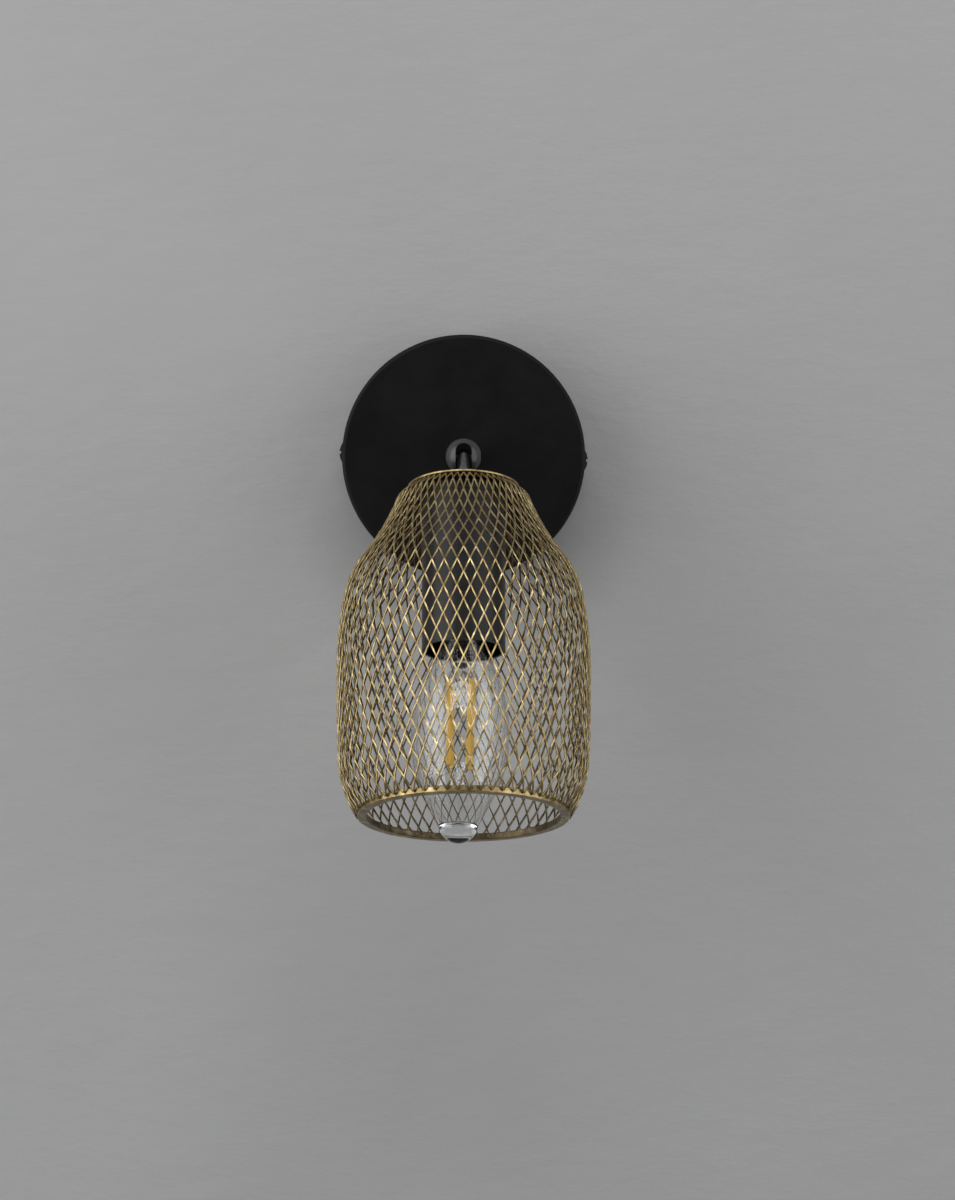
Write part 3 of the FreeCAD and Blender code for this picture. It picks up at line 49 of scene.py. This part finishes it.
class Nodes:
    """A new material's node tree, with short calls to add and link nodes."""

    def __init__(self, name):
        self.mat = bpy.data.materials.new(name)
        self.mat.use_nodes = True
        self.tree = self.mat.node_tree
        self.tree.nodes.clear()
        self.out = self.add("ShaderNodeOutputMaterial")
        self.shader = self.add("ShaderNodeBsdfPrincipled")
        self.link(self.shader.outputs["BSDF"], self.out.inputs["Surface"])
        self.coords = self.add("ShaderNodeTexCoord")

    def add(self, kind, **settings):
        node = self.tree.nodes.new(kind)
        for key, value in settings.items():
            setattr(node, key, value)
        return node

    def link(self, source, target):
        self.tree.links.new(source, target)

    def set(self, **values):
        """Values on the shader's own sockets."""
        names = {
            "metallic": "Metallic", "rough": "Roughness", "ior": "IOR", "spec": "Specular IOR Level",
            "transmission": "Transmission Weight",
        }
        for key, value in values.items():
            self.shader.inputs[names[key]].default_value = value

    def noise(self, scale, detail=3.0, rough=0.55, stretch=None):
        """A noise in the object's own metres: scale is in cells per metre."""
        node = self.add("ShaderNodeTexNoise")
        node.inputs["Scale"].default_value = scale
        node.inputs["Detail"].default_value = detail
        node.inputs["Roughness"].default_value = rough
        source = self.coords.outputs["Object"]
        if stretch:
            mapping = self.add("ShaderNodeMapping")
            mapping.inputs["Scale"].default_value = stretch
            self.link(source, mapping.inputs["Vector"])
            source = mapping.outputs["Vector"]
        self.link(source, node.inputs["Vector"])
        return node.outputs["Fac"]

    def spread(self, value, low, high, at_low=0.3, at_high=0.7):
        """Maps a noise to a range of numbers."""
        node = self.add("ShaderNodeMapRange")
        node.inputs["From Min"].default_value = at_low
        node.inputs["From Max"].default_value = at_high
        node.inputs["To Min"].default_value = low
        node.inputs["To Max"].default_value = high
        self.link(value, node.inputs["Value"])
        return node.outputs["Result"]

    def colours(self, value, stops):
        """Maps a number to a colour: stops are (place, colour)."""
        node = self.add("ShaderNodeValToRGB")
        ramp = node.color_ramp
        while len(ramp.elements) < len(stops):
            ramp.elements.new(0.5)
        for element, (place, colour) in zip(ramp.elements, stops):
            element.position = place
            element.color = (*colour, 1)
        self.link(value, node.inputs["Fac"])
        return node.outputs["Color"]

    def bump(self, height, strength, distance):
        node = self.add("ShaderNodeBump")
        node.inputs["Strength"].default_value = strength
        node.inputs["Distance"].default_value = distance
        self.link(height, node.inputs["Height"])
        self.link(node.outputs["Normal"], self.shader.inputs["Normal"])

    def vector(self, operation, first, second=None):
        """A vector step; each input is a socket or a constant."""
        node = self.add("ShaderNodeVectorMath", operation=operation)
        for socket, value in zip(node.inputs, (first, second)):
            if isinstance(value, bpy.types.NodeSocket):
                self.link(value, socket)
            elif value is not None:
                socket.default_value = value
        return node.outputs["Value"] if operation == "DOT_PRODUCT" else node.outputs["Vector"]


def painted(name, dark, light, rough, grain=900.0, strength=0.25, **values):
    """Powder coat or paint: slight mottling, uneven gloss and a fine orange peel."""
    m = Nodes(name)
    mottle = m.noise(70.0, 4.0)
    m.link(m.colours(mottle, [(0.3, dark), (0.7, light)]), m.shader.inputs["Base Color"])
    m.link(m.spread(m.noise(220.0, 3.0), rough - 0.05, rough + 0.07), m.shader.inputs["Roughness"])
    m.bump(m.noise(grain, 2.0, 0.5), strength, 0.00012)
    m.set(**values)
    return m.mat


def plated(name, dark, light, rough):
    """Plated or brushed metal: fine drawn lines, faint stains."""
    m = Nodes(name)
    drawn = (1, 1, 30)
    stain = m.noise(160.0, 5.0)
    m.link(m.colours(stain, [(0.3, dark), (0.7, light)]), m.shader.inputs["Base Color"])
    gloss = m.spread(m.noise(500.0, 2.0, stretch=drawn), rough - 0.06, rough + 0.1)
    m.link(gloss, m.shader.inputs["Roughness"])
    m.bump(m.noise(1500.0, 2.0, stretch=drawn), 0.15, 0.00005)
    m.set(metallic=1.0)
    return m.mat


def moulded(name, dark, light, rough):
    """Moulded plastic: near-even colour, fine spark texture."""
    m = Nodes(name)
    m.link(m.colours(m.noise(120.0, 3.0), [(0.3, dark), (0.7, light)]), m.shader.inputs["Base Color"])
    m.link(m.spread(m.noise(400.0, 2.0), rough - 0.05, rough + 0.05), m.shader.inputs["Roughness"])
    m.bump(m.noise(3000.0, 2.0), 0.12, 0.00004)
    return m.mat


def clear_glass(name, rough, tint, bump):
    """Clear blown glass with a very slight waviness."""
    m = Nodes(name)
    m.set(transmission=1.0, ior=1.46, spec=0.22)
    m.link(m.colours(m.noise(60.0, 2.0), [(0.3, tint), (0.7, (1, 1, 1))]), m.shader.inputs["Base Color"])
    m.link(m.spread(m.noise(90.0, 2.0), rough, rough + 0.01), m.shader.inputs["Roughness"])
    m.bump(m.noise(120.0, 1.0), bump, 0.0001)
    return m.mat


def striped_lead(name, first, second):
    """Two-colour insulated lead: a stripe winds along it."""
    m = Nodes(name)
    wave = m.add("ShaderNodeTexWave")
    wave.inputs["Scale"].default_value = 160.0
    wave.inputs["Distortion"].default_value = 0.6
    m.link(m.coords.outputs["Object"], wave.inputs["Vector"])
    m.link(m.colours(wave.outputs["Fac"], [(0.42, first), (0.58, second)]), m.shader.inputs["Base Color"])
    m.link(m.spread(m.noise(300.0), 0.38, 0.5), m.shader.inputs["Roughness"])
    m.bump(m.noise(1200.0), 0.1, 0.00005)
    return m.mat


# ---- the object's materials, one for each of the record's slots ----

HEAD_PIVOT = Vector((0, -0.070, 0))
HEAD_TILT = math.radians(20)


def gold_paint():
    """Gold metallic paint: browner in thin patches, with painted shade: faces turned to the cage's inside get
    a darker brown.
    """
    m = Nodes("cage_gold")
    from_pivot = m.vector("SUBTRACT", m.coords.outputs["Object"], HEAD_PIVOT)
    axis = (0, -math.sin(HEAD_TILT), -math.cos(HEAD_TILT))
    across = m.vector("SUBTRACT", from_pivot, m.vector("PROJECT", from_pivot, axis))
    outward = m.vector("NORMALIZE", across)
    facing = m.vector("DOT_PRODUCT", m.coords.outputs["Normal"], outward)
    # painted shade mask: the share of the lit colour, 0 on faces turned inward, 1 on faces turned outward
    unshaded_share = m.spread(facing, 0.0, 1.0, -0.5, 0.5)
    blend = m.add("ShaderNodeMix")
    blend.data_type = "RGBA"
    m.link(unshaded_share, blend.inputs["Factor"])
    patches = m.noise(260.0, 4.0)
    # painted shade: darker browns for faces turned to the cage's inside, standing in for the shade there
    painted_shade_inner = m.colours(
        patches, [(0.30, (0.060, 0.045, 0.026)), (0.52, (0.11, 0.083, 0.046)), (0.72, (0.22, 0.175, 0.10))],
    )
    outer = m.colours(
        patches, [(0.30, (0.18, 0.125, 0.052)), (0.52, (0.36, 0.27, 0.12)), (0.72, (0.62, 0.50, 0.27))],
    )
    shade_socket, outer_socket, blended = 6, 7, 2       # the colour blend's sockets by number
    m.link(painted_shade_inner, blend.inputs[shade_socket])
    m.link(outer, blend.inputs[outer_socket])
    m.link(blend.outputs[blended], m.shader.inputs["Base Color"])
    m.link(m.spread(m.noise(900.0, 3.0), 0.24, 0.38), m.shader.inputs["Roughness"])
    m.bump(m.noise(2600.0, 2.0), 0.25, 0.00006)
    m.set(metallic=0.92)
    return m.mat


MATERIALS = {
    "canopy_black": painted(
        "canopy_black", (0.0045, 0.0045, 0.0047), (0.0068, 0.0068, 0.007), 0.48, spec=0.10,
    ),
    "knuckle_black": painted(
        "knuckle_black", (0.016, 0.016, 0.017), (0.026, 0.026, 0.028), 0.30, 1400.0, 0.12,
    ),
    "cup_black": painted(
        "cup_black", (0.005, 0.005, 0.005), (0.009, 0.009, 0.009), 0.28, 1100.0, 0.2, spec=0.30,
    ),
    "cage_gold": gold_paint(),
    "zinc_steel": plated("zinc_steel", (0.50, 0.50, 0.48), (0.66, 0.66, 0.64), 0.34),
    "brass": plated("brass", (0.55, 0.37, 0.13), (0.74, 0.55, 0.24), 0.28),
    "tinned_copper": plated("tinned_copper", (0.58, 0.56, 0.53), (0.74, 0.73, 0.70), 0.36),
    "block_white": moulded("block_white", (0.66, 0.65, 0.60), (0.74, 0.73, 0.68), 0.42),
    "holder_black": moulded("holder_black", (0.014, 0.013, 0.012), (0.024, 0.022, 0.020), 0.38),
    "lead_brown": moulded("lead_brown", (0.11, 0.045, 0.02), (0.16, 0.07, 0.03), 0.42),
    "lead_green": striped_lead("lead_green", (0.55, 0.50, 0.03), (0.04, 0.22, 0.05)),
    "lamp_glass": clear_glass("lamp_glass", 0.0, (0.975, 0.985, 0.98), 0.001),
    "lamp_stem_glass": clear_glass("lamp_stem_glass", 0.02, (0.95, 0.93, 0.93), 0.15),
    "lamp_cap_nickel": plated("lamp_cap_nickel", (0.55, 0.50, 0.44), (0.70, 0.66, 0.60), 0.22),
    "lamp_insulator": moulded("lamp_insulator", (0.012, 0.012, 0.016), (0.03, 0.03, 0.04), 0.16),
    "lamp_phosphor": moulded("lamp_phosphor", (0.78, 0.44, 0.05), (0.90, 0.58, 0.12), 0.55),
    "lamp_board": moulded("lamp_board", (0.02, 0.12, 0.05), (0.04, 0.20, 0.09), 0.35),
}

slot_of = {p["node"]: p["material_slot"] for p in frame["record"]["subparts"]}
for name, obj in frame["nodes"].items():
    material = MATERIALS[slot_of[name]]
    if not obj.material_slots:
        obj.data.materials.append(material)
    for s in obj.material_slots:
        s.material = material


# ---- the cage's net: a new net mesh with each strand turned a little, shown in place of the CAD net ----

NET_AROUND = 60
NET_HALF_ROWS = 25
NET_STRAND = 0.0005
NET_T = 0.0005
NET_LEAN = math.radians(12)  # how far the strands' edges lean from square to the sheet
NET_TURN = 0.00012          # how far a joint's lower corner stands out and its upper corner in
# the net's outline as (radius, drop), and how far each arc between them bows outwards
NET_ENDS = [
    (0.0203, 0.01295), (0.0241, 0.0169), (0.0377, 0.0411), (0.0429, 0.0532),
    (0.04515, 0.086), (0.0446, 0.112), (0.0382, 0.1342),
]
NET_BOWS = [0.15, -0.036, 0.056, 0.029, 0.006, 0.067]


def arc_points(first, last, bow, steps=40):
    """Points on a round arc from first to last; bow is the middle's height over the chord."""
    first, last = Vector(first), Vector(last)
    chord = last - first
    out = Vector((chord.y, -chord.x)).normalized()
    height = abs(bow) * chord.length
    radius = (chord.length ** 2 / 4 + height ** 2) / (2 * height)
    side = out if bow > 0 else -out
    centre = (first + last) / 2 + side * (height - radius)
    half = math.asin(min(chord.length / 2 / radius, 1.0))
    along = chord.normalized()
    points = []
    for step in range(steps + 1):
        angle = half * (2 * step / steps - 1)
        points.append(centre + side * radius * math.cos(angle) + along * radius * math.sin(angle))
    return points


def net_rows():
    """Evenly spaced (radius, drop) points down the outline."""
    path = [Vector(NET_ENDS[0])]
    for first, last, bow in zip(NET_ENDS, NET_ENDS[1:], NET_BOWS):
        path += arc_points(first, last, bow)[1:]
    reach = [0.0]
    for before, after in zip(path, path[1:]):
        reach.append(reach[-1] + (after - before).length)
    rows = []
    for row in range(NET_HALF_ROWS + 1):
        along = reach[-1] * row / NET_HALF_ROWS
        index = 0
        while index < len(path) - 2 and reach[index + 1] < along:
            index += 1
        share = (along - reach[index]) / (reach[index + 1] - reach[index])
        rows.append(path[index].lerp(path[index + 1], share))
    return rows, reach[-1] / NET_HALF_ROWS


class NetMesh:
    """Joints lie where row and column are both even or both odd, openings at the other crossings."""

    def __init__(self):
        self.rows, self.spacing = net_rows()
        self.columns = 2 * NET_AROUND
        self.points = []
        self.faces = []
        self.index = {}

    def crossing(self, row, column):
        radius, drop = self.rows[row]
        angle = math.pi * column / NET_AROUND
        return Vector((radius * math.cos(angle), radius * math.sin(angle), -drop))

    def axes(self, row, column):
        """Outward and upward directions of the net at a crossing."""
        before = self.rows[max(row - 1, 0)]
        after = self.rows[min(row + 1, NET_HALF_ROWS)]
        run = (after - before).normalized()
        angle = math.pi * column / NET_AROUND
        around = Vector((math.cos(angle), math.sin(angle), 0))
        outward = around * run.y + Vector((0, 0, run.x))
        upward = around * -run.x + Vector((0, 0, run.y))
        return outward, upward

    def place(self, key, row, column, point, push):
        """Adds a corner on both skins, pushed out, and turned with the strands."""
        key = (*key, row, column % self.columns)
        if key not in self.index:
            outward, upward = self.axes(row, column)
            fixed = row in (0, NET_HALF_ROWS)
            turn = 0.0 if fixed else NET_LEAN
            skin = outward * math.cos(turn) + upward * math.sin(turn)
            outer = point + outward * (0.0 if fixed else push)
            self.index[key] = len(self.points)
            self.points += [outer, outer - skin * NET_T]
        return self.index[key]

    def corner(self, row, column, side):
        """The L, R, U or D corner of the opening centred on a crossing; the nearest joint holds it."""
        centre = self.crossing(row, column)
        half = (self.crossing(row, column + 1) - centre).length
        slant = math.atan2(half, self.spacing)
        if side in "LR":
            step = 1 if side == "R" else -1
            share = 1 - NET_STRAND / 2 / math.cos(slant) / half
            point = centre.lerp(self.crossing(row, column + step), share)
            return self.place(("side", -step), row, column + step, point, 0.0)
        step = -1 if side == "U" else 1
        share = 1 - NET_STRAND / 2 / math.sin(slant) / self.spacing
        point = centre.lerp(self.crossing(row + step, column), share)
        return self.place(("end", -step), row + step, column, point, NET_TURN if side == "U" else -NET_TURN)

    def joint(self, row, column):
        return self.place(("joint",), row, column, self.crossing(row, column), 0.0)

    def facet(self, row, column):
        """The strand below a row and right of a column."""
        if (row + column) % 2:
            above, below, near, far = (row, column), (row + 1, column + 1), "R", "L"
            joints = ((row, column + 1), (row + 1, column))
        else:
            above, below, near, far = (row, column + 1), (row + 1, column), "L", "R"
            joints = ((row, column), (row + 1, column + 1))
        high, low = self.joint(*joints[0]), self.joint(*joints[1])
        above_near, above_low = self.corner(*above, near), self.corner(*above, "D")
        below_top, below_far = self.corner(*below, "U"), self.corner(*below, far)
        for skin in (0, 1):
            for face in (
                (above_near, high, below_top), (above_near, below_top, below_far, above_low),
                (above_low, below_far, low),
            ):
                self.faces.append([corner + skin for corner in face])
        walls = [(above_near, above_low), (below_top, below_far)]
        if row == 0:
            walls.append((above_near, high))
        if row == NET_HALF_ROWS - 1:
            walls.append((below_far, low))
        for first, second in walls:
            self.faces.append([first, second, second + 1, first + 1])

    def build(self, name):
        for row in range(NET_HALF_ROWS):
            for column in range(self.columns):
                self.facet(row, column)
        place = Matrix.Translation(HEAD_PIVOT) @ Matrix.Rotation(-HEAD_TILT, 4, "X")
        mesh = bpy.data.meshes.new(name)
        mesh.from_pydata([place @ point for point in self.points], [], self.faces)
        mesh.shade_smooth()
        tidy = bmesh.new()
        tidy.from_mesh(mesh)
        bmesh.ops.recalc_face_normals(tidy, faces=tidy.faces)
        tidy.to_mesh(mesh)
        tidy.free()
        obj = bpy.data.objects.new(name, mesh)
        scene.collection.objects.link(obj)
        return obj


net = NetMesh().build("turned_cage_net")
net.data.materials.append(MATERIALS["cage_gold"])
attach(net, "head")
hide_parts("cage_net")


# ---- the wall behind the light and a floor, neither of them part of the object ----

def plane(name, centre, size_x, size_y, turn):
    """A flat rectangle, facing +Z before it is turned about X."""
    mesh = bpy.data.meshes.new(name)
    x, y = size_x / 2, size_y / 2
    mesh.from_pydata([(-x, -y, 0), (x, -y, 0), (x, y, 0), (-x, y, 0)], [], [(0, 1, 2, 3)])
    obj = bpy.data.objects.new(name, mesh)
    obj.rotation_euler = (turn, 0, 0)
    obj.location = centre
    scene.collection.objects.link(obj)
    return obj


def plaster(name, dark, light, one_sided):
    """Painted plaster with soft trowel marks. One-sided, it shows only from the room, and neither
    shades nor lights anything else."""
    m = Nodes(name)
    m.link(m.colours(m.noise(5.0, 3.0), [(0.3, dark), (0.7, light)]), m.shader.inputs["Base Color"])
    m.set(rough=0.85, spec=0.2)
    m.bump(m.noise(46.0, 5.0, 0.62, stretch=(1, 1.8, 1)), 0.35, 0.0016)
    if one_sided:
        clear = m.add("ShaderNodeBsdfTransparent")
        geometry = m.add("ShaderNodeNewGeometry")
        path = m.add("ShaderNodeLightPath")
        unseen = m.add("ShaderNodeMath", operation="MAXIMUM")
        m.link(path.outputs["Is Shadow Ray"], unseen.inputs[0])
        m.link(path.outputs["Is Diffuse Ray"], unseen.inputs[1])
        either = m.add("ShaderNodeMath", operation="MAXIMUM")
        m.link(unseen.outputs[0], either.inputs[0])
        m.link(geometry.outputs["Backfacing"], either.inputs[1])
        mix = m.add("ShaderNodeMixShader")
        m.link(either.outputs[0], mix.inputs["Fac"])
        m.link(m.shader.outputs["BSDF"], mix.inputs[1])
        m.link(clear.outputs["BSDF"], mix.inputs[2])
        m.link(mix.outputs["Shader"], m.out.inputs["Surface"])
    return m.mat


WALL_BEHIND = 0.0006        # the wall stands this far behind the canopy's rim
FLOOR_HEIGHT = -1.6

wall = plane("studio_wall", Vector((0, WALL_BEHIND, 0)), 6.0, 3.2, math.pi / 2)
wall.data.materials.append(plaster("studio_wall", (0.335, 0.335, 0.335), (0.355, 0.355, 0.355), True))
floor = plane("studio_floor", Vector((0, 0, FLOOR_HEIGHT)), 12.0, 12.0, 0)
floor.data.materials.append(plaster("studio_floor", (0.58, 0.58, 0.58), (0.64, 0.64, 0.64), False))


# ---- light ----

def softbox(name, place, aim, width, height, watts):
    """A soft rectangular lamp in metres and watts, turned to its aim."""
    data = bpy.data.lights.new(name, "AREA")
    data.shape = "RECTANGLE"
    data.size, data.size_y = width, height
    data.energy = watts
    obj = bpy.data.objects.new(name, data)
    obj.location = place
    obj.rotation_euler = (Vector(aim) - Vector(place)).to_track_quat("-Z", "Y").to_euler()
    scene.collection.objects.link(obj)


softbox("softbox_left", (-1.35, -0.62, 0.30), (0, -0.08, -0.05), 1.9, 2.1, 30)
softbox("softbox_right", (1.35, -0.62, 0.25), (0, -0.08, -0.05), 1.9, 2.1, 18)
softbox("softbox_top", (0.0, -1.25, 1.75), (0, -0.05, -0.10), 1.8, 0.9, 21)

world = bpy.data.worlds.new("studio")
scene.world = world
world.use_nodes = True
background = world.node_tree.nodes["Background"]
background.inputs["Color"].default_value = (0.80, 0.81, 0.83, 1)
background.inputs["Strength"].default_value = 0.20

scene.view_settings.view_transform = "Standard"


# ---- camera: in front of the canopy, 1.2 m from the knuckle, aimed a little below it ----

SENSOR = 36.0
PICTURE = (955.0, 1200.0)   # width and height in px
FOCAL_PX = 3276.0
AIM_PX = (463.64, 456.5)    # where the canopy's middle stands in the picture, from its top left corner
CAMERA_BACK = 1.264

camera_data = bpy.data.cameras.new("camera")
camera_data.sensor_fit = "AUTO"
camera_data.sensor_width = SENSOR
camera_data.lens = FOCAL_PX * SENSOR / max(PICTURE)
camera = bpy.data.objects.new("camera", camera_data)
scene.collection.objects.link(camera)
scene.camera = camera

camera.location = (0, -CAMERA_BACK, 0)
down = math.atan((PICTURE[1] / 2 - AIM_PX[1]) / FOCAL_PX)
aside = math.atan((PICTURE[0] / 2 - AIM_PX[0]) / FOCAL_PX)
look = Vector((math.sin(aside) * math.cos(down), math.cos(aside) * math.cos(down), -math.sin(down)))
camera.rotation_euler = look.to_track_quat("-Z", "Y").to_euler()
